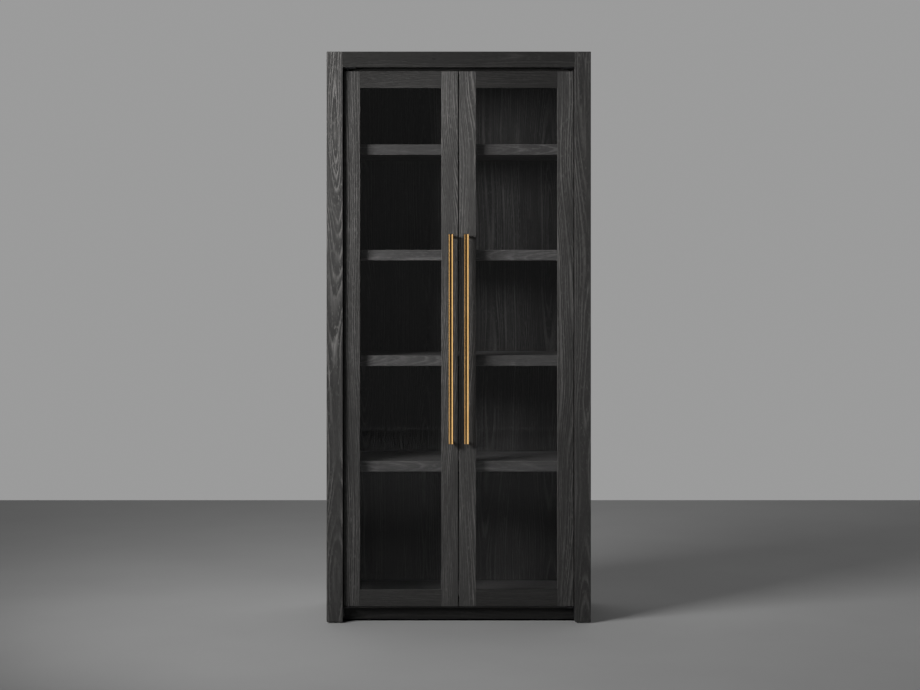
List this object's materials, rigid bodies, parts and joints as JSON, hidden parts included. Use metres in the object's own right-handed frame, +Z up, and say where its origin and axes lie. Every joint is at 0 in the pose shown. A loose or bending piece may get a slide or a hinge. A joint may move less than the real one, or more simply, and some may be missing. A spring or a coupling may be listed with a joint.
{
  "type": "apothecary cabinet",
  "caption": "Tall dark oak display cabinet with two framed glass doors, thick shelves, a recessed toe kick and long round brass bar pulls.",
  "frame": {"origin": "on the floor, at the middle of the width and of the whole depth, pulls included", "axes": "+X to the right of someone facing the doors, +Y towards the back, +Z up"},
  "size_m": [1.016, 0.48, 2.197],
  "materials": {
    "charcoal_oak": "wire-brushed, matt",
    "satin_brass": "satin",
    "clear_glass": "polished",
    "glazing_foam": "matt",
    "beech": "raw",
    "black_steel": "powder coated",
    "black_nylon": "matt",
    "clear_rubber": "soft, frosted",
    "nickel_plate": "plated",
    "zinc_steel": "zinc plated"
  },
  "bodies": {
    "case": {"back_panel": "charcoal_oak", "back_panel_screws": "zinc_steel", "bottom_panel": "charcoal_oak", "bottom_pivot_brackets": "black_steel", "cam_bolts": "zinc_steel", "cam_locks": "nickel_plate", "door_bumpers": "clear_rubber", "door_magnets": "nickel_plate", "door_stop_rail": "charcoal_oak", "dowels": "beech", "floor_glides": "black_nylon", "left_side_panel": "charcoal_oak", "pivot_pins": "zinc_steel", "pivot_screws": "zinc_steel", "rear_plinth_rail": "charcoal_oak", "right_side_panel": "charcoal_oak", "shelf_1": "charcoal_oak", "shelf_2": "charcoal_oak", "shelf_3": "charcoal_oak", "shelf_4": "charcoal_oak", "shelf_pins": "zinc_steel", "stop_rail_screws": "zinc_steel", "thrust_washers": "black_nylon", "toe_kick": "charcoal_oak", "top_panel": "charcoal_oak", "top_pivot_plates": "black_steel"},
    "left_door": {"left_hinge_stile": "charcoal_oak", "left_meeting_stile": "charcoal_oak", "left_top_rail": "charcoal_oak", "left_bottom_rail": "charcoal_oak", "left_glass": "clear_glass", "left_glazing_tape": "glazing_foam", "left_glazing_beads": "charcoal_oak", "left_pull_bar": "satin_brass", "left_pull_posts": "satin_brass", "left_pull_screws": "zinc_steel", "left_pivot_bushes": "black_nylon", "left_strike_discs": "zinc_steel", "left_strike_screws": "zinc_steel"},
    "right_door": {"right_hinge_stile": "charcoal_oak", "right_meeting_stile": "charcoal_oak", "right_top_rail": "charcoal_oak", "right_bottom_rail": "charcoal_oak", "right_glass": "clear_glass", "right_glazing_tape": "glazing_foam", "right_glazing_beads": "charcoal_oak", "right_pull_bar": "satin_brass", "right_pull_posts": "satin_brass", "right_pull_screws": "zinc_steel", "right_pivot_bushes": "black_nylon", "right_strike_discs": "zinc_steel", "right_strike_screws": "zinc_steel"}
  },
  "joints": [
    {"name": "left_door_hinge", "type": "hinge", "parent": "case", "child": "left_door", "pos_m": [-0.429, -0.189, 1.0925], "axis": [0, 0, -1], "range_deg": [0, 104]},
    {"name": "right_door_hinge", "type": "hinge", "parent": "case", "child": "right_door", "pos_m": [0.429, -0.189, 1.0925], "axis": [0, 0, 1], "range_deg": [0, 104]}
  ]
}
